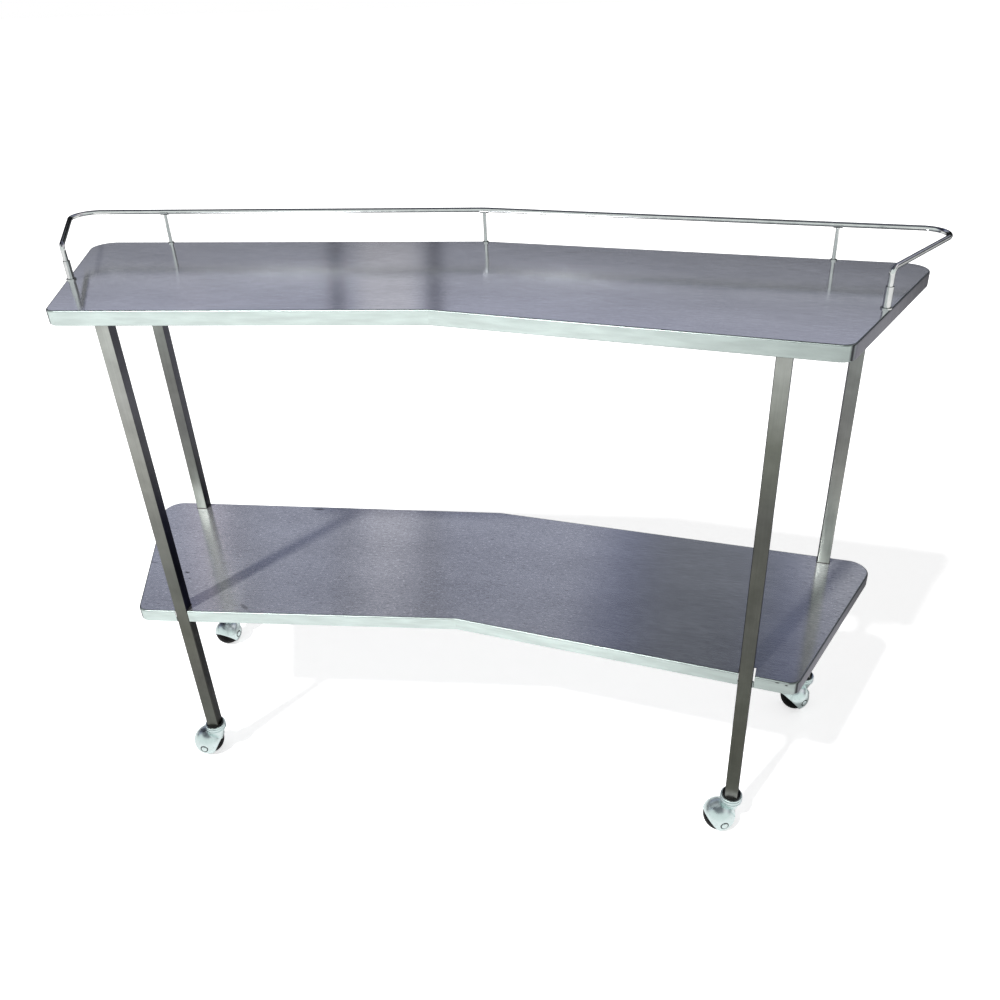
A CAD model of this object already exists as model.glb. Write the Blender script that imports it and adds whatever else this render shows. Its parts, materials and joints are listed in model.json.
import json
import math

import bmesh
import bpy
from bpy.props import FloatProperty, FloatVectorProperty, IntProperty, PointerProperty, StringProperty
from mathutils import Matrix, Vector

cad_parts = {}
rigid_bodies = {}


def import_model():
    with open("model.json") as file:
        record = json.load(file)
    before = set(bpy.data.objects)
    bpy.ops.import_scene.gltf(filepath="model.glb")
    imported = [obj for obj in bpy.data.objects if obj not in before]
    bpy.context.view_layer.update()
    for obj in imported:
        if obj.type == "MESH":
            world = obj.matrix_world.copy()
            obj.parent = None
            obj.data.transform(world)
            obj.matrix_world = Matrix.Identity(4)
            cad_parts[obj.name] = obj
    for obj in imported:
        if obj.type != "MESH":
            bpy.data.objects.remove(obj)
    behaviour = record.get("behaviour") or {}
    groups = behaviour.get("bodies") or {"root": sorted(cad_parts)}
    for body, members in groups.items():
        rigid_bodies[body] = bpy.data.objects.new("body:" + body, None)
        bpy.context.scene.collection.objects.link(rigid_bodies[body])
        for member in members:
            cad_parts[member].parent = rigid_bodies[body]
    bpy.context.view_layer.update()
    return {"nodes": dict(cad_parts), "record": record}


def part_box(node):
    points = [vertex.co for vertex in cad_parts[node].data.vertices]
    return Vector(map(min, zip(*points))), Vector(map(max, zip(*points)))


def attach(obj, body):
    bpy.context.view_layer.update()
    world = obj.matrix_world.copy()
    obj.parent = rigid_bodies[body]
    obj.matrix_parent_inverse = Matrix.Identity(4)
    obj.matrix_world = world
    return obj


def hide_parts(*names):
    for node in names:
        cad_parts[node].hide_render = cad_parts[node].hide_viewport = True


bl_info = {
    "name": "Angular instrument table",
    "version": (1, 0, 0),
    "blender": (4, 5, 0),
    "location": "View3D > Sidebar > Table",
    "description": "Dresses the packed instrument table: sheets, legs, gallery rail and ball casters",
    "category": "Object",
}

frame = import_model()

CORNERS = ("front_left", "front_right", "back_left", "back_right")
SIDES = {"left": -1, "right": 1}


# Sizes and colours that a user would change


class TABLE_PG_sheet(bpy.types.PropertyGroup):
    """The folded sheets of the top and the shelf."""
    depth: FloatProperty(
        name="Depth", description="Depth of the top at the mitre", default=0.360, unit="LENGTH")
    front_half: FloatProperty(
        name="Half front", description="Front edge from mitre to end corner", default=0.573, unit="LENGTH")
    front_sweep: FloatProperty(
        name="Front sweep", description="Sweep of the front edges",
        default=math.radians(7), subtype="ANGLE")
    back_sweep: FloatProperty(
        name="Back sweep", description="Sweep of the back edges",
        default=math.radians(5.4), subtype="ANGLE")
    end_rake: FloatProperty(
        name="End rake", description="Rake of the end edges", default=math.radians(23.5), subtype="ANGLE")
    rim: FloatProperty(
        name="Rim height", description="Height of the folded rims", default=0.024, unit="LENGTH")
    front_corner: FloatProperty(
        name="Front corner", description="Radius of the front corners", default=0.022, unit="LENGTH")
    back_corner: FloatProperty(
        name="Back corner", description="Radius of the back corners", default=0.034, unit="LENGTH")
    thickness: FloatProperty(
        name="Thickness", description="Thickness of the sheet", default=0.0012, unit="LENGTH")
    fold: FloatProperty(
        name="Fold radius", description="Outside radius of the folds", default=0.0026, unit="LENGTH")
    flange: FloatProperty(
        name="Flange", description="Width of the return flange", default=0.013, unit="LENGTH")
    shelf_inset: FloatProperty(
        name="Shelf inset", description="Shelf's outline inside the top's", default=0.0026, unit="LENGTH")
    notch_gap: FloatProperty(
        name="Notch gap", description="Gap round the legs in the shelf", default=0.0004, unit="LENGTH")
    notch_slack: FloatProperty(
        name="Notch slack", description="More gap outside the front right leg",
        default=0.0026, unit="LENGTH")


class TABLE_PG_tube(bpy.types.PropertyGroup):
    """The square legs and the round rail."""
    side: FloatProperty(
        name="Tube", description="Outside size of the square tube", default=0.022, unit="LENGTH")
    wall: FloatProperty(name="Wall", description="Wall of the square tube", default=0.0015, unit="LENGTH")
    corner: FloatProperty(
        name="Corner", description="Corner radius of the tube", default=0.002, unit="LENGTH")
    rod: FloatProperty(name="Rod", description="Diameter of the rail rod", default=0.008, unit="LENGTH")
    rise: FloatProperty(
        name="Rise", description="Rail's centre line above the top", default=0.056, unit="LENGTH")
    inset: FloatProperty(
        name="Inset", description="Posts inside the edge of the top", default=0.008, unit="LENGTH")
    corner_bend: FloatProperty(
        name="Corner bend", description="Bend radius at the back corners", default=0.035, unit="LENGTH")
    elbow: FloatProperty(
        name="Elbow", description="Bend radius at the rail's ends", default=0.009, unit="LENGTH")
    centre_bend: FloatProperty(
        name="Centre bend", description="Bend radius at the rail's centre", default=0.090, unit="LENGTH")
    flare: FloatProperty(
        name="Flare", description="How far the end runs open outward",
        default=math.radians(8), subtype="ANGLE")
    foot: FloatProperty(
        name="Foot", description="Height of the rod's ends above the top", default=0.006, unit="LENGTH")


class TABLE_PG_finish(bpy.types.PropertyGroup):
    """The colours of the finishes, as sRGB hex values."""
    sheet_light: StringProperty(name="Sheet", description="Brushed sheet, light tone", default="#DEDFE2")
    sheet_dark: StringProperty(
        name="Sheet shade", description="Brushed sheet, dark tone", default="#B4B5B9")
    edge: StringProperty(name="Edge", description="Ground edge facing front or back", default="#DDEAE6")
    edge_end: StringProperty(name="End edge", description="Ground edge facing the ends", default="#96959F")
    edge_weld: StringProperty(
        name="Corner weld", description="Heat tint on the ground corners", default="#4A4B4E")
    rod: StringProperty(name="Rod", description="Polished rod", default="#ECEEEC")
    plating: StringProperty(name="Plating", description="Bright nickel plating", default="#DCE9E8")
    nylon: StringProperty(name="Nylon", description="Black nylon", default="#060707")
    rubber: StringProperty(name="Rubber", description="Black rubber", default="#030303")


class TABLE_PG_stage(bpy.types.PropertyGroup):
    """Camera, floor and lights."""
    camera_at: FloatVectorProperty(
        name="Camera", description="Place of the camera", default=(0.3988, -1.3269, 1.3441), unit="LENGTH")
    camera_turn: FloatVectorProperty(
        name="Turn", description="Pitch, roll and yaw of the camera",
        default=(math.radians(-30.427), math.radians(2.2186), math.radians(13.02)), subtype="EULER")
    focal: FloatProperty(name="Focal length", description="Focal length in millimetres", default=32.711)
    shift: FloatVectorProperty(
        name="Shift", description="Shift of the frame", size=2, default=(-0.01926, -0.01024))
    floor: StringProperty(name="Floor", description="Colour of the floor", default="#F7F7F7")
    ambient: FloatProperty(
        name="Ambient", description="Strength of the sky on matte surfaces", default=0.25)
    key: FloatProperty(name="Key", description="Strength of the key light", default=3.0)
    key_from: FloatVectorProperty(
        name="Key from", description="Bearing and height of the key light", size=2,
        default=(math.radians(241.5), math.radians(52)))
    key_size: FloatProperty(
        name="Key size", description="Width of the key light as seen",
        default=math.radians(3.6), subtype="ANGLE")
    samples_of_rim: IntProperty(
        name="Fold steps", description="Steps in each fold of the sheets", default=6)


# Helpers for meshes


def direction(angle):
    return Vector((math.cos(angle), math.sin(angle)))


def cross2(u, v):
    return u.x * v.y - u.y * v.x


def meet(p, u, q, v):
    """Where the line through p along u meets the line through q along v."""
    return p + u * (cross2(q - p, v) / cross2(u, v))


class Plan:
    """Plane geometry of the right-hand wing, as the CAD source has it."""

    def __init__(self, sheet):
        self.s = sheet
        self.front_dir = direction(-sheet.front_sweep)
        self.back_dir = direction(-sheet.back_sweep)
        self.end_dir = direction(math.pi / 2 - sheet.end_rake)
        self.front_end = Vector((sheet.front_half, -sheet.front_half * math.tan(sheet.front_sweep)))
        self.shift = Vector((0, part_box("top_right_wing")[1].y - sheet.depth))

    def front_point(self, inset):
        return Vector((0, inset / math.cos(self.s.front_sweep)))

    def back_point(self, inset):
        return Vector((0, self.s.depth - inset / math.cos(self.s.back_sweep)))

    def end_point(self, inset):
        return self.front_end + inset * direction(math.pi - self.s.end_rake)

    def front_corner(self, inset):
        return meet(self.front_point(inset), self.front_dir, self.end_point(inset), self.end_dir)

    def back_corner(self, inset):
        return meet(self.back_point(inset), self.back_dir, self.end_point(inset), self.end_dir)

    def outline(self, inset, base, steps):
        """The wing's outline set in by inset, from the front of the mitre, with base's corner centres."""
        s = self.s
        front = self.front_corner(base + s.front_corner)
        back = self.back_corner(base + s.back_corner)
        points = [self.front_point(inset)]
        for centre, radius, start, end in (
                (front, base + s.front_corner - inset, -math.pi / 2 - s.front_sweep, -s.end_rake),
                (back, base + s.back_corner - inset, -s.end_rake, math.pi / 2 - s.back_sweep)):
            for k in range(steps + 1):
                points.append(centre + radius * direction(start + (end - start) * k / steps))
        points.append(self.back_point(inset))
        return points


def linked(name, data):
    """A new object in the scene with this data."""
    thing = bpy.data.objects.new(name, data)
    bpy.context.scene.collection.objects.link(thing)
    return thing


def new_object(name, vertices, faces, material, smooth=math.radians(40)):
    mesh = bpy.data.meshes.new(name)
    mesh.from_pydata([tuple(v) for v in vertices], [], faces)
    mesh.validate()
    mesh.materials.append(material)
    mesh.shade_smooth()
    mesh.set_sharp_from_angle(angle=smooth)
    return linked(name, mesh)


def facing_along(way):
    """The turn that points Z along a direction."""
    return way.to_track_quat("Z", "Y").to_matrix().to_4x4()


def leg_seat(sheet, corner):
    """A leg's middle, its turn about the upright, and the sign of Y on its outer side."""
    place, side = corner.split("_")
    low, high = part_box(f"leg_{corner}")
    sweep = sheet.front_sweep if place == "front" else sheet.back_sweep
    return (low + high) / 2, Matrix.Rotation(-sweep * SIDES[side], 4, "Z"), -1 if place == "front" else 1


def placed(thing, body, slot, *nodes):
    """Puts a piece on its body, with the record's slot and the CAD nodes that it stands for."""
    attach(thing, body)
    if nodes:
        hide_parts(*nodes)
    return thing


def cut(thing, cutters):
    """Takes the cutters' volume out of a piece."""
    for cutter in cutters:
        modifier = thing.modifiers.new("cut", "BOOLEAN")
        modifier.operation = "DIFFERENCE"
        modifier.solver = "EXACT"
        modifier.object = cutter
    made = bpy.data.meshes.new_from_object(thing.evaluated_get(bpy.context.evaluated_depsgraph_get()))
    thing.modifiers.clear()
    thing.data = made
    for cutter in cutters:
        bpy.data.objects.remove(cutter)


def ring_faces(rings, sides, closed=False):
    """Faces from each ring of vertices to the next, and from the last to the first where it is closed."""
    faces = []
    for i in range(rings if closed else rings - 1):
        after = (i + 1) % rings * sides
        for k in range(sides):
            n = (k + 1) % sides
            faces.append((i * sides + k, i * sides + n, after + n, after + k))
    return faces


def swept(stations, radii, sides):
    """Vertices and faces of a round rod whose rings stand at the stations (point, direction)."""
    vertices = []
    side = Vector((0, 1, 0)).cross(stations[0][1])
    if side.length < 0.1:
        side = Vector((1, 0, 0))
    for (point, way), radius in zip(stations, radii):
        side = (side - way * side.dot(way)).normalized()
        other = way.cross(side)
        for k in range(sides):
            a = 2 * math.pi * k / sides
            vertices.append(point + radius * (side * math.cos(a) + other * math.sin(a)))
    faces = ring_faces(len(stations), sides)
    faces.append(tuple(range(sides))[::-1])
    faces.append(tuple(range((len(stations) - 1) * sides, len(stations) * sides)))
    return vertices, faces


def bent(points, bends, step):
    """Stations (point, direction) along the points' line, with a bend of its own radius at each point."""
    made = [(points[0], (points[1] - points[0]).normalized())]
    for k in range(1, len(points) - 1):
        before = (points[k] - points[k - 1]).normalized()
        after = (points[k + 1] - points[k]).normalized()
        turn = before.angle(after)
        inward = (after - before * after.dot(before)).normalized()
        centre = points[k] - before * bends[k] * math.tan(turn / 2) + inward * bends[k]
        steps = max(4, math.ceil(turn / step))
        for i in range(steps + 1):
            a = turn * i / steps
            point = centre + bends[k] * (before * math.sin(a) - inward * math.cos(a))
            made.append((point, before * math.cos(a) + inward * math.sin(a)))
    made.append((points[-1], (points[-1] - points[-2]).normalized()))
    return made


def lathe(profile, sides, at):
    """Vertices and faces of a profile [(radius, height), ...] turned about Z, and then moved."""
    vertices = []
    for radius, height in profile:
        for k in range(sides):
            a = 2 * math.pi * k / sides
            vertices.append(at @ Vector((radius * math.cos(a), radius * math.sin(a), height)))
    return vertices, ring_faces(len(profile), sides)


# Materials

MM = 0.001
WHITE = (1, 1, 1, 1)
SMOOTH = {"interpolation_type": "SMOOTHSTEP"}
COLOUR = {"data_type": "RGBA"}
TINTED = {"data_type": "RGBA", "blend_type": "MULTIPLY"}
TIMES = {"operation": "MULTIPLY"}
TIMES_PLUS = {"operation": "MULTIPLY_ADD"}


def linear(hex_colour):
    """An sRGB hex value as linear red, green, blue and alpha."""
    values = [int(hex_colour[k:k + 2], 16) / 255 for k in (1, 3, 5)]
    return [v / 12.92 if v <= 0.04045 else ((v + 0.055) / 1.055) ** 2.4 for v in values] + [1.0]


def per(*sizes):
    """The scale at which a pattern's features have these sizes in millimetres."""
    scales = [1 / (size * MM) for size in sizes]
    return scales if len(scales) > 1 else scales[0]


def fill(tree, node, inputs):
    """Gives a node's inputs, by name or in order, their values or the nodes and sockets that feed them."""
    for key, value in inputs.items() if isinstance(inputs, dict) else enumerate(inputs):
        if isinstance(value, bpy.types.Node):
            value = next(socket for socket in value.outputs if socket.enabled)
        if isinstance(value, bpy.types.NodeSocket):
            tree.links.new(value, node.inputs[key])
        else:
            node.inputs[key].default_value = value


def add(tree, kind, settings=None, inputs=(), stops=()):
    """Adds a node, its kind named without Blender's ShaderNode, with its settings and inputs.

    A colour ramp's stops are (place, hex colour).
    """
    node = tree.nodes.new("ShaderNode" + kind)
    for name, value in (settings or {}).items():
        setattr(node, name, value)
    fill(tree, node, inputs)
    for k, (place, shade) in enumerate(stops):
        elements = node.color_ramp.elements
        stop = elements[k] if k < 2 else elements.new(place)
        stop.position = place
        stop.color = linear(shade)
    return node


def steps(tree, start, *rows):
    """The product of start and of soft steps from 0 to 1, each of a value as it goes from low to high."""
    for value, low, high in rows:
        step = add(tree, "MapRange", SMOOTH, (value, low, high))
        start = add(tree, "Math", TIMES, (step, start))
    return start


def mottle(tree, size, detail):
    """Noise that stays with its piece, with blotches of this size in millimetres."""
    place = add(tree, "TexCoord").outputs["Object"]
    return add(tree, "TexNoise", inputs={"Vector": place, "Scale": per(size), "Detail": detail})


# Marks of use, each as its place, its size and its turn about the upright, with its strength and colour
SHEET_MARKS = (
    ((-0.382, 0.173, 0.354), (0.034, 0.010, 0.02), 5, 0.75, "#4A4B52"),
    ((-0.543, -0.083, 0.354), (0.014, 0.006, 0.02), -10, 0.9, "#303038"),
    ((-0.528, -0.100, 0.354), (0.008, 0.004, 0.02), 30, 0.8, "#303038"),
    ((-0.385, -0.164, 0.354), (0.034, 0.010, 0.02), -32, 0.55, "#585A62"),
    ((-0.626, -0.063, 0.354), (0.022, 0.003, 0.02), 0, 0.8, "#50525A"),
    ((-0.556, -0.212, 0.354), (0.040, 0.022, 0.02), -40, 0.5, "#4C4D50"),
    ((-0.200, 0.060, 0.354), (0.006, 0.003, 0.02), 15, 0.8, "#44464E"),
    ((-0.090, -0.040, 0.354), (0.005, 0.003, 0.02), -25, 0.8, "#44464E"),
    ((0.080, 0.110, 0.354), (0.007, 0.002, 0.02), 10, 0.7, "#50525A"))
EDGE_MARKS = (
    ((-0.574, -0.212, 0.341), (0.007, 0.016, 0.022), 20, 0.95, "#141416"),
    ((0.540, -0.204, 0.351), (0.010, 0.02, 0.003), -7, 0.9, "#26272A"),
    ((0.554, -0.206, 0.349), (0.007, 0.02, 0.004), -7, 0.9, "#26272A"),
    ((0.570, -0.209, 0.345), (0.004, 0.02, 0.012), 20, 0.7, "#3A3B3E"),
    ((0.577, -0.207, 0.342), (0.003, 0.02, 0.014), 40, 0.7, "#3A3B3E"),
    ((0.0, -0.178, 0.902), (0.0016, 0.02, 0.020), 0, 0.45, "#6E7476"),
    ((0.0, -0.176, 0.342), (0.0016, 0.02, 0.020), 0, 0.45, "#6E7476"),
    ((-0.300, -0.150, 0.893), (0.030, 0.03, 0.003), 7, 0.5, "#8A9290"))


def marked(tree, place, colour, marks):
    """The colour with the marks laid over it."""
    for at, size, turn, share, shade in marks:
        spot = add(tree, "Mapping", {"vector_type": "TEXTURE"}, {
            "Vector": place, "Location": at, "Rotation": (0, 0, math.radians(turn)),
            "Scale": [v / 2 for v in size]})
        far = add(tree, "VectorMath", {"operation": "LENGTH"}, (spot,))
        stain = add(tree, "MapRange", SMOOTH, (far, 1.0, 0.4, 0.0, share))
        colour = add(tree, "Mix", COLOUR, {0: stain, 6: colour, 7: linear(shade)})
    return colour


def brushed_stainless(tree, look):
    """Austenitic stainless sheet, belt-brushed along each wing: it smears reflections across the grain."""
    # UV is in metres, unfolded, with U along the grain. The real grain is about 0.1 mm wide,
    # and it is drawn at 2.2 mm so that it shows.
    place = add(tree, "UVMap", {"uv_map": "grain"})
    fine = add(tree, "Mapping", inputs={"Vector": place, "Scale": per(30, 2.2, 1000)})
    grain = add(tree, "TexNoise", inputs={
        "Vector": fine, "Scale": 1.0, "Detail": 3.0, "Roughness": 0.65})
    # Broad clouds of wear run on across the mitre, so they follow the table and not the wing
    table = add(tree, "TexCoord").outputs["Object"]
    broad = add(tree, "Mapping", inputs={"Vector": table, "Scale": per(220, 100, 300)})
    cloud = add(tree, "TexNoise", inputs={
        "Vector": broad, "Scale": 1.0, "Detail": 5.0, "Roughness": 0.6})
    both = add(tree, "Math", TIMES_PLUS, (cloud, 0.7, grain))
    tone = add(tree, "MapRange", None, (both, 0.55, 1.15))
    colour = add(tree, "Mix", COLOUR, {
        0: tone, 6: linear(look.sheet_dark), 7: linear(look.sheet_light)})
    # Packs have rubbed the shelf's right half: it scatters less light to all sides there
    x, _, z = add(tree, "SeparateXYZ", None, (table,)).outputs
    rubbed = steps(tree, 1.0, (x, 0.16, 0.30), (x, 0.64, 0.54), (z, 0.6, 0.5))
    # Short ticks along the grain, where the belt dug in: some bright, some dark, and most on the shelf
    rougher = add(tree, "MapRange", None, (z, 0.4, 0.8, 1.0, 0.3))
    unrubbed = add(tree, "Math", {**TIMES_PLUS, "use_clamp": True}, (rubbed, -0.85, rougher))
    for length, width, low, high, share, shade in (
            (6.5, 3.0, 0.56, 0.70, 0.55, "#FFFFFF"), (11, 3.0, 0.58, 0.74, 0.5, "#7C7D84")):
        # The two kinds of tick are drawn from places far apart in the noise
        spread = add(tree, "Mapping", inputs={
            "Vector": place, "Location": (length * 0.9, 0, 0), "Scale": per(length, width, 1000)})
        ticks = add(tree, "TexNoise", inputs={"Vector": spread, "Scale": 1.0, "Detail": 1.0})
        tick = add(tree, "MapRange", None, (ticks, low, high, 0.0, share))
        tick = add(tree, "Math", TIMES, (tick, unrubbed))
        colour = add(tree, "Mix", COLOUR, {0: tick, 6: colour, 7: linear(shade)})
    # Film and dirt take some of the mirror from the metal, more on the shelf than on the top
    level = add(tree, "MapRange", None, (z, 0.5, 0.6, 0.78, 0.90))
    metal = add(tree, "MapRange", None, (rubbed, 0.0, 1.0, level, 0.97))
    smooth = add(tree, "MapRange", None, (z, 0.5, 0.6, 0.15, 0.10))
    rough = add(tree, "Math", TIMES_PLUS, (grain, 0.06, smooth))
    # The shelf's right end is matte from hands and cloths
    handled = steps(tree, 0.12, (x, 0.56, 0.68), (z, 0.6, 0.5))
    return {
        "Base Color": marked(tree, table, colour, SHEET_MARKS), "Metallic": metal,
        "Roughness": add(tree, "Math", {"operation": "ADD"}, (rough, handled)),
        "Normal": add(tree, "Bump", inputs={
            "Height": grain, "Strength": 0.25, "Distance": 0.06 * MM}),
        "Tangent": add(tree, "Tangent", {"direction_type": "UV_MAP", "uv_map": "grain"}),
        "Anisotropic": 0.85, "Anisotropic Rotation": 0.25}


def ground_edge(tree, look):
    """The same stainless, ground smooth on the folded edges: pale, with heat tint at the welded corners."""
    facing = add(tree, "NewGeometry").outputs["True Normal"]
    across, _, upward = add(tree, "SeparateXYZ", None, (facing,)).outputs
    aside = add(tree, "Math", {"operation": "ABSOLUTE"}, (across,))
    end = add(tree, "MapRange", None, (aside, 0.5, 0.8))
    weld = steps(tree, 1.0, (aside, 0.40, 0.58), (aside, 0.74, 0.62))
    place = add(tree, "UVMap", {"uv_map": "grain"})
    spread = add(tree, "Mapping", inputs={"Vector": place, "Scale": per(60, 12, 1000)})
    cloud = add(tree, "TexNoise", inputs={"Vector": spread, "Scale": 1.0, "Detail": 4.0})
    base = add(tree, "Mix", COLOUR, {0: end, 6: linear(look.edge), 7: linear(look.edge_end)})
    burnt = add(tree, "Mix", COLOUR, {0: weld, 6: base, 7: linear(look.edge_weld)})
    worn = add(tree, "MapRange", None, (cloud, 0.35, 0.65, 0.84, 1.0))
    # Hands and trolleys have dulled the right end more than the left
    where = add(tree, "TexCoord").outputs["Object"]
    x, y, _ = add(tree, "SeparateXYZ", None, (where,)).outputs
    dulled = add(tree, "MapRange", SMOOTH, (x, 0.20, 0.60, 1.0, 0.58))
    wear = add(tree, "Math", TIMES, (worn, dulled))
    # The crest of the fold is duller than the rim below it, but not at the ends
    crest = add(tree, "MapRange", SMOOTH, (upward, 0.1, 0.45, 1.0, 0.42))
    crest = add(tree, "Mix", inputs={0: end, "A": crest, "B": 1.0})
    wear = add(tree, "Math", TIMES, (wear, crest))
    # The ends turn darker toward the back, at a glance along them too
    behind = add(tree, "MapRange", SMOOTH, (y, -0.12, 0.14, 0.0, 0.32))
    behind = add(tree, "Math", TIMES, (behind, end))
    wear = add(tree, "Math", {"operation": "SUBTRACT"}, (wear, behind))
    colour = add(tree, "Mix", TINTED, {0: 1.0, 6: burnt, 7: wear})
    return {
        "Base Color": marked(tree, where, colour, EDGE_MARKS), "Metallic": 1.0,
        "Roughness": add(tree, "MapRange", None, (cloud, 0.3, 0.7, 0.34, 0.46)),
        "Specular Tint": add(tree, "Mix", COLOUR, {
            0: behind, 6: linear("#E8E8EA"), 7: linear("#24242E")})}


# Tones along the tubes as (height in metres, colour). Hands have rubbed the upper ends bright, the shelf
# keeps the tube just over it clean, and the front right tube is scuffed at its foot.
FRONT_LEFT = ((0.08, "#646660"), (0.13, "#5E605A"), (0.20, "#63635E"), (0.30, "#66675F"), (0.43, "#6F716C"),
              (0.54, "#7D7E79"), (0.65, "#9A9B95"), (0.76, "#A6A7A3"), (0.87, "#B3B6B1"))
FRONT_RIGHT = ((0.08, "#828480"), (0.095, "#54564F"), (0.20, "#4E4F48"), (0.30, "#565851"), (0.43, "#585954"),
               (0.54, "#595A54"), (0.65, "#585955"), (0.76, "#6F726A"), (0.87, "#A3A6A1"))
BACK_LEFT = ((0.08, "#8A8B88"), (0.36, "#B6BAB2"), (0.39, "#A8ABA4"), (0.43, "#7E817C"), (0.54, "#717270"),
             (0.65, "#757673"), (0.76, "#868985"), (0.87, "#989A97"))
BACK_RIGHT = ((0.08, "#8A8B88"), (0.36, "#BCC0B8"), (0.39, "#B2B6AF"), (0.43, "#A2A6A0"), (0.54, "#858682"),
              (0.65, "#717270"), (0.76, "#808380"), (0.87, "#989A97"))
FRONT_SIDE = ((0.08, "#3C3C38"), (0.20, "#3A3A38"), (0.30, "#464644"), (0.352, "#3E3E3C"), (0.356, "#20202C"),
              (0.38, "#1E1E2C"), (0.43, "#0E0E14"), (0.54, "#20202C"), (0.65, "#464648"), (0.76, "#545459"),
              (0.87, "#404044"))
BACK_SIDE = ((0.08, "#4A4A4C"), (0.352, "#3A3A3C"), (0.38, "#0E0E16"), (0.43, "#363638"), (0.54, "#4C4C50"),
             (0.87, "#4A4A50"))


def satin_tube(tree, look):
    """Welded stainless tube, satin with its grain along the tube: olive-grey, darker on the side faces."""
    place = add(tree, "TexCoord").outputs["Object"]
    x, y, z = add(tree, "SeparateXYZ", None, (place,)).outputs
    facing = add(tree, "NewGeometry").outputs["True Normal"]
    across = add(tree, "SeparateXYZ", None, (facing,))
    aside = add(tree, "Math", {"operation": "ABSOLUTE"}, (across,))
    side = add(tree, "MapRange", None, (aside, 0.5, 0.8))
    right = add(tree, "MapRange", None, (x, -0.05, 0.05))
    back = add(tree, "MapRange", None, (y, -0.05, 0.05))
    tones = [add(tree, "ValToRGB", None, (z,), stops) for stops in (
        FRONT_LEFT, FRONT_RIGHT, BACK_LEFT, BACK_RIGHT, FRONT_SIDE, BACK_SIDE)]
    front = add(tree, "Mix", COLOUR, {0: right, 6: tones[0], 7: tones[1]})
    behind = add(tree, "Mix", COLOUR, {0: right, 6: tones[2], 7: tones[3]})
    outward = add(tree, "Mix", COLOUR, {0: back, 6: front, 7: behind})
    sideways = add(tree, "Mix", COLOUR, {0: back, 6: tones[4], 7: tones[5]})
    face = add(tree, "Mix", COLOUR, {0: side, 6: outward, 7: sideways})
    # Drawing lines along the tube, 1.5 mm apart so that they show
    drawn = add(tree, "Mapping", inputs={"Vector": place, "Scale": per(1.5, 1.5, 120)})
    lines = add(tree, "TexNoise", inputs={"Vector": drawn, "Scale": 1.0, "Detail": 3.0})
    both = add(tree, "Math", TIMES_PLUS, (lines, 0.5, mottle(tree, 30, 5.0)))
    worn = add(tree, "MapRange", None, (both, 0.5, 1.0, 0.84, 1.12))
    return {
        "Base Color": add(tree, "Mix", TINTED, {0: 1.0, 6: face, 7: worn}), "Metallic": 1.0,
        "Roughness": add(tree, "MapRange", None, (lines, 0.3, 0.7, 0.30, 0.42)),
        "Specular Tint": linear("#CCCCD0")}


def polished_rod(tree, look):
    """Cold-drawn stainless rod, buffed: sharp highlights with faint draw marks."""
    marks = mottle(tree, 12, 3.0)
    return {
        "Base Color": add(tree, "Mix", COLOUR, {
            0: marks, 6: linear("#BCBEBE"), 7: linear(look.rod)}),
        "Roughness": add(tree, "MapRange", None, (marks, 0.3, 0.7, 0.06, 0.12)),
        "Metallic": 1.0, "Specular Tint": linear("#3E4044")}


def weld_bead(tree, look):
    """Weld metal left as laid: brown and blue-grey heat tint on fine ripples."""
    tint = mottle(tree, 4, 3.0)
    return {
        "Base Color": add(tree, "Mix", COLOUR, {
            0: tint, 6: linear("#4A443E"), 7: linear(look.edge_weld)}),
        "Metallic": 1.0, "Roughness": 0.38}


def bright_plating(tree, look):
    """Pressed steel, nickel plated and tumbled: a soft sheen with fine scuffs from rolling about."""
    scuff = mottle(tree, 6, 4.0)
    tone = add(tree, "MapRange", None, (scuff, 0.35, 0.6, 0.94, 1.0))
    return {
        "Base Color": add(tree, "Mix", TINTED, {0: 1.0, 6: linear(look.plating), 7: tone}),
        "Roughness": add(tree, "MapRange", None, (scuff, 0.3, 0.7, 0.26, 0.36)), "Metallic": 1.0}


def zinc_plating(tree, look):
    """Zinc-plated fixings and mill-finish channel: soft grey, slightly mottled."""
    place = add(tree, "TexCoord").outputs["Object"]
    spangle = add(tree, "TexVoronoi", inputs={"Vector": place, "Scale": per(8)})
    return {
        "Base Color": add(tree, "Mix", COLOUR, {
            0: spangle, 6: linear("#B4B6B4"), 7: linear("#8F918F")}),
        "Metallic": 1.0, "Roughness": 0.38}


def black_nylon(tree, look):
    """Injection-moulded black nylon: a fine satin with a soft edge to its highlights."""
    skin = mottle(tree, 1.2, 2.0)
    return {
        "Base Color": linear(look.nylon), "Specular IOR Level": 0.3,
        "Normal": add(tree, "Bump", inputs={
            "Height": skin, "Strength": 0.2, "Distance": 0.05 * MM}),
        "Roughness": add(tree, "MapRange", None, (skin, 0.3, 0.7, 0.42, 0.56))}


def black_rubber(tree, look):
    """Moulded hard rubber tread: near black, greyed by dust where it rolls."""
    dust = add(tree, "MapRange", None, (mottle(tree, 9, 5.0), 0.55, 0.85, 0.0, 0.1))
    return {
        "Base Color": add(tree, "Mix", COLOUR, {
            0: dust, 6: linear(look.rubber), 7: linear("#4A4845")}),
        "Roughness": 0.5, "Specular IOR Level": 0.1}


def painted_floor(tree, look):
    """Rolled white paint: matte, and as light as the background to the camera."""
    skin = mottle(tree, 20, 2.0)
    ray = add(tree, "LightPath").outputs
    mirrored = add(tree, "Math", TIMES, (ray["Is Glossy Ray"], 0.12))
    return {
        "Base Color": linear(look.floor), "Roughness": 0.9, "Emission Color": WHITE,
        "Emission Strength": add(tree, "Math", TIMES_PLUS, (ray["Is Camera Ray"], 0.68, mirrored)),
        "Normal": add(tree, "Bump", inputs={"Height": skin, "Strength": 0.1, "Distance": 0.2 * MM})}


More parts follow.
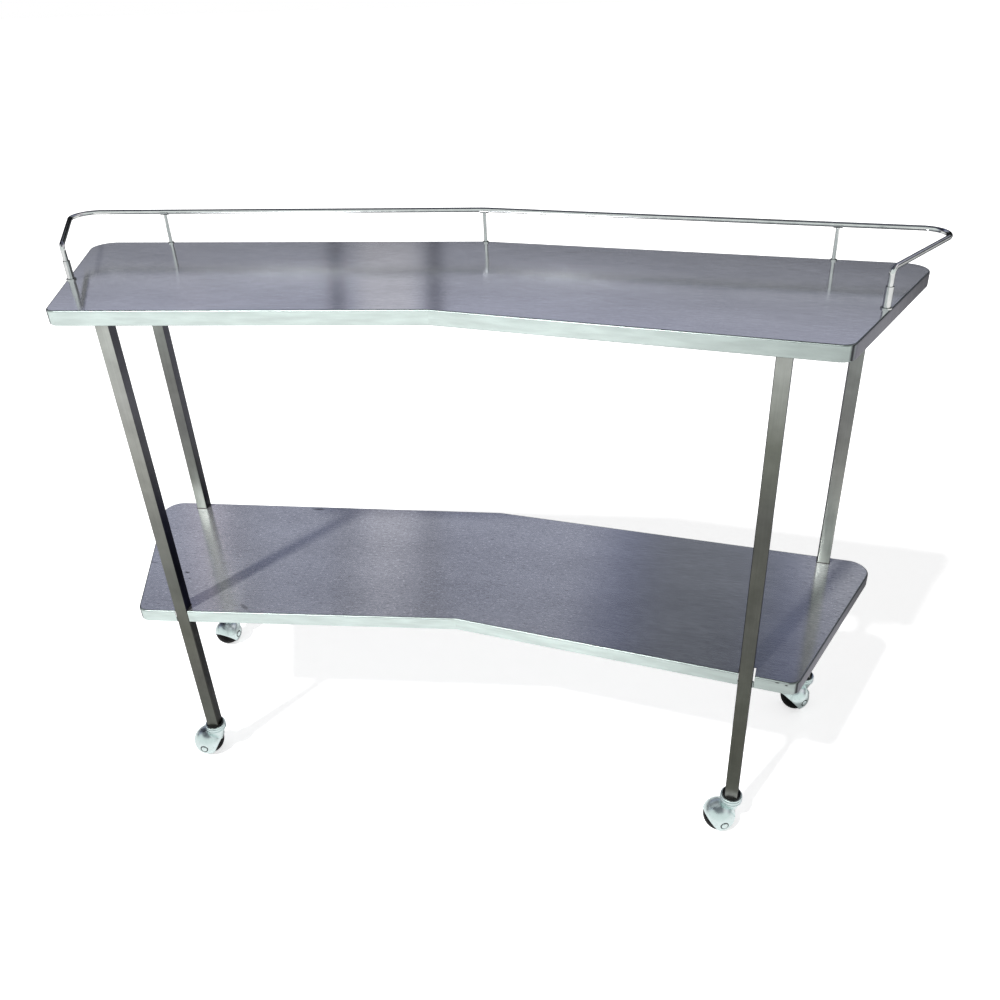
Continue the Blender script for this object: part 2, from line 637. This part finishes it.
MAKERS = {
    "Brushed stainless sheet": brushed_stainless,
    "Ground stainless edge": ground_edge,
    "Satin stainless tube": satin_tube,
    "Polished stainless rod": polished_rod,
    "Heat-tinted weld bead": weld_bead,
    "Bright nickel plating": bright_plating,
    "Zinc plated steel": zinc_plating,
    "Moulded black nylon": black_nylon,
    "Hard black rubber": black_rubber,
    "Painted studio floor": painted_floor}


def finish(name, look):
    """The material of this name, filled in by its maker the first time."""
    material = bpy.data.materials.get(name)
    if not material:
        material = bpy.data.materials.new(name)
        material.use_nodes = True
        tree = material.node_tree
        fill(tree, tree.nodes["Principled BSDF"], MAKERS[name](tree, look))
    return material


# Pieces


class TABLE_OT_sheets(bpy.types.Operator):
    """Makes the folded sheets of the top and the shelf"""
    bl_idname = "table.sheets"
    bl_label = "Folded sheets"

    CORNER_STEPS = 18
    # Width of the flat strip that holds the shading beside each fold
    SUPPORT = 0.0008
    CUT_MARGIN = 0.002
    # Keeps the left wings' grain and the shelf's from repeating the right wing's of the top
    GRAIN_SHIFT = 7
    GRAIN_RISE = 3

    def section(self, sheet, steps):
        """The folded section, outside then inside, as (inset, height, unfolded inset)."""
        quarter = math.pi / 2
        lines = []
        for offset in (0.0, sheet.thickness):
            radius = sheet.fold - offset
            line = [(sheet.fold + self.SUPPORT, -offset, sheet.fold + self.SUPPORT)]
            for k in range(steps + 1):
                a = quarter * (1 - k / steps)
                line.append((sheet.fold - radius * math.cos(a), radius * math.sin(a) - sheet.fold,
                             sheet.fold - sheet.fold * quarter * k / steps))
            for k in range(steps + 1):
                a = quarter * k / steps
                line.append((sheet.fold - radius * math.cos(a), sheet.fold - sheet.rim - radius * math.sin(a),
                             sheet.fold - sheet.fold * quarter * (1 + k / steps) - sheet.rim))
            line.append((sheet.flange, offset - sheet.rim, -sheet.rim - sheet.flange))
            lines.append(line)
        return lines[0] + lines[1][::-1]

    def wing(self, context, name, side, base, top, look_faces, edge):
        sheet = context.scene.table_sheet
        plan = Plan(sheet)
        section = self.section(sheet, context.scene.table_stage.samples_of_rim)
        count = len(plan.outline(base, base, self.CORNER_STEPS))
        vertices, grain = [], []
        lean = (sheet.front_sweep + sheet.back_sweep) / 2
        for inset, height, unfolded in section:
            ring = plan.outline(inset + base, base, self.CORNER_STEPS)
            flat = plan.outline(unfolded + base, base, self.CORNER_STEPS)
            for p, q in zip(ring, flat):
                p = p + plan.shift
                vertices.append(Vector((side * p.x, p.y, top + height)))
                along = q.x * math.cos(lean) - q.y * math.sin(lean)
                along += (self.GRAIN_SHIFT if side < 0 else 0) + self.GRAIN_RISE * top
                grain.append((along, q.x * math.sin(lean) + q.y * math.cos(lean)))
        rings = len(section)
        faces, kinds = [], []
        for i in range(rings - 1):
            for k in range(count - 1):
                a = i * count + k
                faces.append((a, a + count, a + count + 1, a + 1))
                kinds.append(0 if i == 0 or i == rings - 2 else 1)
        faces.append(tuple(range(count)))
        faces.append(tuple(range((rings - 1) * count, rings * count))[::-1])
        kinds += [0, 0]
        # The open ends of the section, where the wings butt at the mitre
        half = rings // 2
        for i in range(half - 1):
            j = rings - 1 - i
            faces.append((i * count, j * count, (j - 1) * count, (i + 1) * count))
            last = count - 1
            faces.append((i * count + last, (i + 1) * count + last, (j - 1) * count + last, j * count + last))
            kinds += [1, 1]
        faces.append((0, count - 1, rings * count - 1, (rings - 1) * count))
        kinds.append(0)
        if side < 0:
            faces = [f[::-1] for f in faces]
        made = new_object(name, vertices, faces, look_faces)
        made.data.materials.append(edge)
        made.data.polygons.foreach_set("material_index", kinds)
        layer = made.data.uv_layers.new(name="grain")
        for loop in made.data.loops:
            layer.data[loop.index].uv = grain[loop.vertex_index]
        return made

    def execute(self, context):
        sheet, tube = context.scene.table_sheet, context.scene.table_tube
        look = context.scene.table_finish
        face, edge = finish("Brushed stainless sheet", look), finish("Ground stainless edge", look)
        for side_name, side in SIDES.items():
            for level, base in (("top", 0.0), ("shelf", sheet.shelf_inset)):
                node = f"{level}_{side_name}_wing"
                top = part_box(node)[1].z
                made = self.wing(context, f"{level}_{side_name}_sheet", side, base, top, face, edge)
                if level == "shelf":
                    corners = [corner for corner in CORNERS if corner.endswith(side_name)]
                    cut(made, [self.notch(sheet, tube, corner) for corner in corners])
                placed(made, "frame", "brushed_sheet", node)
        return {"FINISHED"}

    def notch(self, sheet, tube, corner):
        """A block round a leg, open to the outside, that cuts the shelf's notch."""
        centre, turn, out = leg_seat(sheet, corner)
        half = tube.side / 2 + sheet.notch_gap
        low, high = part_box(f"shelf_{corner.split('_')[1]}_wing")
        verts = []
        outer = half + (sheet.notch_slack if corner == "front_right" else 0)
        for x in (-half, outer):
            for y in (-half, half + tube.side):
                for z in (low.z - self.CUT_MARGIN, high.z + self.CUT_MARGIN):
                    at = turn @ Vector((x, out * y, 0))
                    verts.append((centre.x + at.x, centre.y + at.y, z))
        block = bmesh.new()
        points = [block.verts.new(v) for v in verts]
        bmesh.ops.convex_hull(block, input=points)
        mesh = bpy.data.meshes.new("notch")
        block.to_mesh(mesh)
        block.free()
        cutter = linked("notch", mesh)
        cutter.hide_render = True
        return cutter


class TABLE_OT_legs(bpy.types.Operator):
    """Makes the square-tube legs"""
    bl_idname = "table.legs"
    bl_label = "Legs"

    CORNER_STEPS = 6

    def loop(self, half, corner):
        points = []
        for quarter in range(4):
            for k in range(self.CORNER_STEPS + 1):
                a = math.pi / 2 * (quarter + k / self.CORNER_STEPS)
                middle = math.pi / 2 * quarter + math.pi / 4
                centre = (half - corner) * math.sqrt(2) * direction(middle)
                points.append(centre + corner * direction(a))
        return points

    def execute(self, context):
        sheet, tube = context.scene.table_sheet, context.scene.table_tube
        metal = finish("Satin stainless tube", context.scene.table_finish)
        outer = self.loop(tube.side / 2, tube.corner)
        inner = self.loop(tube.side / 2 - tube.wall, tube.corner - tube.wall)
        for corner in CORNERS:
            low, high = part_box(f"leg_{corner}")
            centre, turn, _ = leg_seat(sheet, corner)
            vertices = []
            for ring, z in ((outer, low.z), (outer, high.z), (inner, high.z), (inner, low.z)):
                for p in ring:
                    at = turn @ p.to_3d()
                    vertices.append(Vector((centre.x + at.x, centre.y + at.y, z)))
            made = new_object(f"tube_{corner}", vertices, ring_faces(4, len(outer), closed=True), metal)
            placed(made, "frame", "satin_tube", f"leg_{corner}")
        return {"FINISHED"}


class TABLE_OT_rail(bpy.types.Operator):
    """Makes the bent rod of the gallery rail"""
    bl_idname = "table.rail"
    bl_label = "Gallery rail"

    SIDES_OF_ROD = 28
    BEND_STEP = math.radians(4)

    def corners(self, context):
        sheet, tube = context.scene.table_sheet, context.scene.table_tube
        plan = Plan(sheet)
        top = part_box("top_right_wing")[1].z
        low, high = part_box("rail_sleeve_right")
        foot = Vector(((low.x + high.x) / 2, (low.y + high.y) / 2))
        middle = plan.back_point(tube.inset) + plan.shift
        end_run = direction(math.pi / 2 - sheet.end_rake - tube.flare)
        corner = meet(middle, plan.back_dir, foot, end_run)
        level = top + tube.rise
        right = [Vector((foot.x, foot.y, top + tube.foot)), Vector((foot.x, foot.y, level)),
                 Vector((corner.x, corner.y, level))]
        left = [Vector((-p.x, p.y, p.z)) for p in right]
        bends = [0, tube.elbow, tube.corner_bend, tube.centre_bend, tube.corner_bend, tube.elbow, 0]
        return left + [Vector((middle.x, middle.y, level))] + right[::-1], bends

    def execute(self, context):
        metal = finish("Polished stainless rod", context.scene.table_finish)
        stations = bent(*self.corners(context), self.BEND_STEP)
        radii = [context.scene.table_tube.rod / 2] * len(stations)
        made = new_object("rail_rod", *swept(stations, radii, self.SIDES_OF_ROD), metal)
        placed(made, "frame", "polished_rod", "gallery_rail")
        return {"FINISHED"}


class TABLE_OT_welds(bpy.types.Operator):
    """Lays the weld beads round the legs on the shelf"""
    bl_idname = "table.welds"
    bl_label = "Weld beads"

    RADIUS = 0.0011
    RIPPLE = 0.0022
    RIPPLE_DEPTH = 0.14
    STEPS_IN_RIPPLE = 5
    # How far the beads end before the leg's outer face
    SHORT = 0.003
    TACK = 0.0017
    # The tack's rings, as (share of the rim's height, share of its radius)
    TACK_RINGS = ((0.02, 0.6), (0.06, 1.0), (0.28, 1.02), (0.50, 1.0), (0.54, 0.6))
    SIDES_OF_BEAD = 10
    BEND_STEP = math.radians(15)

    def rippled(self, line):
        """Stations close enough together along the line to show ripples, and the bead's radius at each."""
        stations = []
        for (start, way), (end, after) in zip(line, line[1:]):
            count = max(1, round((end - start).length / (self.RIPPLE / self.STEPS_IN_RIPPLE)))
            for k in range(count):
                stations.append((start.lerp(end, k / count), way.lerp(after, k / count).normalized()))
        stations.append(line[-1])
        radii, gone = [], 0.0
        for (point, _), (following, _) in zip(stations, stations[1:] + stations[-1:]):
            wave = math.sin(2 * math.pi * gone / self.RIPPLE)
            radii.append(self.RADIUS * (1 + self.RIPPLE_DEPTH * wave))
            gone += (following - point).length
        return stations, radii

    def execute(self, context):
        sheet, tube = context.scene.table_sheet, context.scene.table_tube
        metal = finish("Heat-tinted weld bead", context.scene.table_finish)
        half = tube.side / 2
        for corner in CORNERS:
            centre, turn, out = leg_seat(sheet, corner)
            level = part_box(f"shelf_{corner.split('_')[1]}_wing")[1].z
            plan = [(-half, out * (half - self.SHORT)), (-half, -out * half), (half, -out * half)]
            # The front right notch is cut too wide for a bead on its outer side
            if corner != "front_right":
                plan.append((half, out * (half - self.SHORT)))
            bends = [0] + [tube.corner] * (len(plan) - 2) + [0]
            points = [Vector((centre.x, centre.y, level)) + turn @ Vector((x, y, 0)) for x, y in plan]
            bead = swept(*self.rippled(bent(points, bends, self.BEND_STEP)), self.SIDES_OF_BEAD)
            placed(new_object(f"weld_{corner}", *bead, metal), "frame", "satin_tube")
        self.tack(context)
        return {"FINISHED"}

    def tack(self, context):
        """A ground tack that bridges the front right notch's slack in the lower half of the rim."""
        sheet, tube = context.scene.table_sheet, context.scene.table_tube
        centre, turn, _ = leg_seat(sheet, "front_right")
        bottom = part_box("shelf_right_wing")[0].z
        at = turn @ Vector((tube.side / 2 + sheet.notch_slack / 2, -tube.side / 2 + self.TACK, 0))
        stations = [(Vector((centre.x + at.x, centre.y + at.y, bottom + sheet.rim * k)), Vector((0, 0, 1)))
                    for k, _ in self.TACK_RINGS]
        bead = swept(stations, [self.TACK * k for _, k in self.TACK_RINGS], self.SIDES_OF_BEAD)
        metal = finish("Ground stainless edge", context.scene.table_finish)
        placed(new_object("tack_front_right", *bead, metal), "frame", "brushed_sheet")


class TABLE_OT_washers(bpy.types.Operator):
    """Makes the black fibre washers under the casters' axle heads"""
    bl_idname = "table.washers"
    bl_label = "Axle washers"

    INNER = 0.0052
    OUTER = 0.0074
    HEIGHT = 0.0005
    ROUNDING = 0.0002
    # The axle heads' height over the washers
    HEAD = 0.0024
    SIDES_OF_WASHER = 40

    def execute(self, context):
        fibre = finish("Moulded black nylon", context.scene.table_finish)
        profile = ((self.INNER, 0), (self.OUTER, 0), (self.OUTER, self.HEIGHT - self.ROUNDING),
                   (self.OUTER - self.ROUNDING, self.HEIGHT), (self.INNER, self.HEIGHT), (self.INNER, 0))
        for joint in frame["record"]["behaviour"]["joints"]:
            kind, corner = joint["name"].split("_", 1)
            if kind != "roll":
                continue
            centre, axle = Vector(joint["pos_m"]), Vector(joint["axis"]).normalized()
            node = frame["nodes"][f"caster_axle_{corner}"]
            reach = max((node.matrix_world @ v.co - centre).dot(axle) for v in node.data.vertices)
            for letter, way in (("a", axle), ("b", -axle)):
                at = Matrix.Translation(centre + way * (reach - self.HEAD)) @ facing_along(way)
                made = new_object(
                    f"axle_washer_{corner}_{letter}", *lathe(profile, self.SIDES_OF_WASHER, at), fibre)
                placed(made, joint["parent"], "black_nylon")
        return {"FINISHED"}


class TABLE_OT_finishes(bpy.types.Operator):
    """Gives the CAD pieces that stay their real finishes"""
    bl_idname = "table.finishes"
    bl_label = "Finishes"

    FINISH_OF = {
        "channel_steel": "Zinc plated steel", "polished_rod": "Polished stainless rod",
        "plated_fixings": "Zinc plated steel", "bright_plating": "Bright nickel plating",
        "black_nylon": "Moulded black nylon", "black_tread": "Hard black rubber"}

    def execute(self, context):
        look = context.scene.table_finish
        for part in frame["record"]["subparts"]:
            node = frame["nodes"][part["node"]]
            if node.hide_render:
                continue
            node.data.materials.clear()
            node.data.materials.append(finish(self.FINISH_OF[part["material_slot"]], look))
        return {"FINISHED"}


class TABLE_OT_stage(bpy.types.Operator):
    """Makes the camera, the floor and the lights"""
    bl_idname = "table.stage"
    bl_label = "Stage"

    # What the metal mirrors behind the table, as (degrees above the floor, colour)
    ROOM = (
        (0, "#FFFFFF"), (1.5, "#FFFFFF"), (3.0, "#3E4042"), (12.6, "#3E4042"), (13.4, "#545658"),
        (14.3, "#808284"), (15.2, "#B2B4B8"), (16.2, "#C4C6D4"), (17.2, "#CED0E4"), (18.2, "#D0D3E8"),
        (19.2, "#BEC2D8"), (20.4, "#AEB2CE"), (22, "#A2A6BC"), (26, "#989EB6"), (32, "#949AB4"),
        (34, "#8E94AE"), (36, "#727A9A"), (38, "#505878"), (40, "#343C5A"), (43, "#282E46"),
        (50, "#50525C"), (60, "#6A6C74"), (90, "#70727A"))
    ZENITH = 90
    # The room's lower edge rises to the right: bearings and what is added to the height there, in degrees
    LIFT = (60, 130, -5.4, 0.6)
    # Upright bands of it, all in degrees: left and right bearing, softness, the heights between which they
    # set in, and their colour. The dark ones multiply the room by it.
    DARK = (
        (120.4, 118.9, 0.5, 24, 28, "#A4A4AC"),
        (112.5, 111.6, 0.5, 2, 8, "#A8A8AE"),
        (106.3, 105.3, 0.5, 2, 8, "#9898A0"),
        (89.5, 79.5, 2.5, 24, 33, "#E4E2C8"),
        (168.0, 138.0, 3.0, 12, 20, "#5A4E5C"))
    # The bright ones are a door frame and a lit wall, and end between two more heights
    BRIGHT = (
        (122.1, 120.7, 0.5, 20, 26, "#E0CCD8"),
        (110.6, 106.9, 0.8, 13.5, 16.5, "#B0ACB0"))
    BRIGHT_END = (37, 34)
    # The bands lean to the left as they rise
    LEAN = -0.12
    WINDOWS = "#F6EFF4"
    ROOM_FRONT = "#F0F7F5"
    SENSOR_WIDTH = 36
    CLIP = (0.05, 60)
    FLOOR_REACH = 30
    LAMP_AWAY = 4
    FLAGGED = ("Polished stainless rod", "Bright nickel plating")

    def camera(self, context, stage):
        pitch, roll, yaw = stage.camera_turn
        turn = (Matrix.Rotation(yaw, 4, "Z") @ Matrix.Rotation(pitch, 4, "X") @ Matrix.Rotation(roll, 4, "Y")
                @ Matrix.Rotation(math.pi / 2, 4, "X"))
        data = bpy.data.cameras.new("Camera")
        data.sensor_width = self.SENSOR_WIDTH
        data.lens = stage.focal
        data.shift_x, data.shift_y = stage.shift
        data.clip_start, data.clip_end = self.CLIP
        camera = linked("Camera", data)
        camera.matrix_world = Matrix.Translation(Vector(stage.camera_at)) @ turn
        context.scene.camera = camera

    def room(self, tree):
        """The studio that the metal mirrors: white low down and in front, grey and lilac behind and above."""
        x, y, z = add(tree, "SeparateXYZ", None, (
            add(tree, "TexCoord").outputs["Generated"],)).outputs
        height = add(tree, "Math", {"operation": "ARCSINE"}, (z,))
        bearing = add(tree, "Math", {"operation": "ARCTAN2"}, (y, x))
        lift = add(tree, "MapRange", None, (bearing, *[math.radians(v) for v in self.LIFT]))
        level = add(tree, "Math", {"operation": "ADD"}, (height, lift))
        level = add(tree, "Math", {"operation": "DIVIDE"}, (level, math.radians(self.ZENITH)))
        shade = add(tree, "ValToRGB", None, (level,), [
            (angle / self.ZENITH, colour) for angle, colour in self.ROOM])
        leaning = add(tree, "Math", TIMES_PLUS, (height, self.LEAN, bearing))
        for bands, blend, ends in (
                (self.DARK, "MULTIPLY", []), (self.BRIGHT, "SCREEN", [(height, *self.BRIGHT_END)])):
            for left, right, soft, low, high, colour in bands:
                edges = [(leaning, right - soft, right + soft), (leaning, left + soft, left - soft),
                         (height, low, high)] + ends
                inside = steps(tree, 1.0, *[(v, math.radians(a), math.radians(b)) for v, a, b in edges])
                shade = add(tree, "Mix", {**COLOUR, "blend_type": blend}, {
                    0: inside, 6: shade, 7: linear(colour)})
        # Windows to the right, high up, light the folds of the right end
        window = steps(tree, 1.0, (x, 0.4, 0.6), (z, 0.35, 0.5))
        shade = add(tree, "Mix", COLOUR, {0: window, 6: shade, 7: linear(self.WINDOWS)})
        front = steps(tree, 1.0, (y, 0.0, -0.25), (z, 0.82, 0.66))
        return add(tree, "Mix", COLOUR, {0: front, 6: shade, 7: linear(self.ROOM_FRONT)})

    def world(self, context, stage):
        """White to the camera, the room in reflections, and a plain sky on matte surfaces."""
        world = bpy.data.worlds.new("Studio")
        world.use_nodes = True
        context.scene.world = world
        tree = world.node_tree
        tree.nodes.clear()
        ray = add(tree, "LightPath").outputs
        mirrored = add(tree, "Math", {"operation": "MAXIMUM"}, (
            ray["Is Glossy Ray"], ray["Is Transmission Ray"]))
        sky = add(tree, "Background", None, (WHITE, stage.ambient))
        room = add(tree, "Background", None, (self.room(tree), 1.0))
        white = add(tree, "Background", None, (WHITE, 1.0))
        matte = add(tree, "MixShader", None, (mirrored, sky, room))
        seen = add(tree, "MixShader", None, (ray["Is Camera Ray"], matte, white))
        add(tree, "OutputWorld", None, (seen,))

    def floor(self, stage):
        far = self.FLOOR_REACH
        mesh = bpy.data.meshes.new("floor")
        mesh.from_pydata([(-far, -far, 0), (far, -far, 0), (far, far, 0), (-far, far, 0)], [], [(0, 1, 2, 3)])
        mesh.materials.append(finish("Painted studio floor", stage))
        linked("floor", mesh)

    def lamp(self, stage):
        """A distant soft box at the front left, which throws the front left leg's shadow along the shelf."""
        data = bpy.data.lights.new("key", "SUN")
        data.energy = stage.key
        data.angle = stage.key_size
        lamp = linked("key", data)
        bearing, height = stage.key_from
        flat = direction(bearing) * math.cos(height)
        way = Vector((flat.x, flat.y, math.sin(height)))
        lamp.matrix_world = Matrix.Translation(way * self.LAMP_AWAY) @ facing_along(way)
        # A flag keeps the key off the round bright pieces, which would show it as a burnt-out streak
        flagged = bpy.data.collections.new("Flagged off from the key")
        for thing in bpy.data.objects:
            if thing.type == "MESH" and thing.data.materials and thing.data.materials[0].name in self.FLAGGED:
                flagged.objects.link(thing)
        for item in flagged.collection_objects:
            item.light_linking.link_state = "EXCLUDE"
        lamp.light_linking.receiver_collection = flagged

    def execute(self, context):
        stage = context.scene.table_stage
        context.scene.view_settings.view_transform = "Standard"
        self.camera(context, stage)
        self.world(context, stage)
        self.floor(stage)
        self.lamp(stage)
        return {"FINISHED"}


class TABLE_PT_panel(bpy.types.Panel):
    """Lists the pieces in the 3D view's sidebar"""
    bl_idname = "TABLE_PT_panel"
    bl_label = "Instrument table"
    bl_space_type = "VIEW_3D"
    bl_region_type = "UI"
    bl_category = "Table"

    def draw(self, context):
        for group in ("table_sheet", "table_tube", "table_finish", "table_stage"):
            box = self.layout.box()
            settings = getattr(context.scene, group)
            for name in settings.bl_rna.properties.keys():
                if name not in ("rna_type", "name"):
                    box.prop(settings, name)
        for operator in OPERATORS:
            self.layout.operator(operator.bl_idname)


# The stage comes last, because its flag looks for the finished pieces
OPERATORS = (TABLE_OT_sheets, TABLE_OT_legs, TABLE_OT_rail, TABLE_OT_welds, TABLE_OT_washers,
             TABLE_OT_finishes, TABLE_OT_stage)
GROUPS = (("table_sheet", TABLE_PG_sheet), ("table_tube", TABLE_PG_tube), ("table_finish", TABLE_PG_finish),
          ("table_stage", TABLE_PG_stage))


def register():
    for name, group in GROUPS:
        bpy.utils.register_class(group)
        setattr(bpy.types.Scene, name, PointerProperty(type=group))
    for cls in (*OPERATORS, TABLE_PT_panel):
        bpy.utils.register_class(cls)


def unregister():
    for cls in reversed((*OPERATORS, TABLE_PT_panel)):
        bpy.utils.unregister_class(cls)
    for name, group in reversed(GROUPS):
        delattr(bpy.types.Scene, name)
        bpy.utils.unregister_class(group)


def main():
    register()
    for operator in OPERATORS:
        space, name = operator.bl_idname.split(".")
        getattr(getattr(bpy.ops, space), name)()


if __name__ == "__main__":
    main()
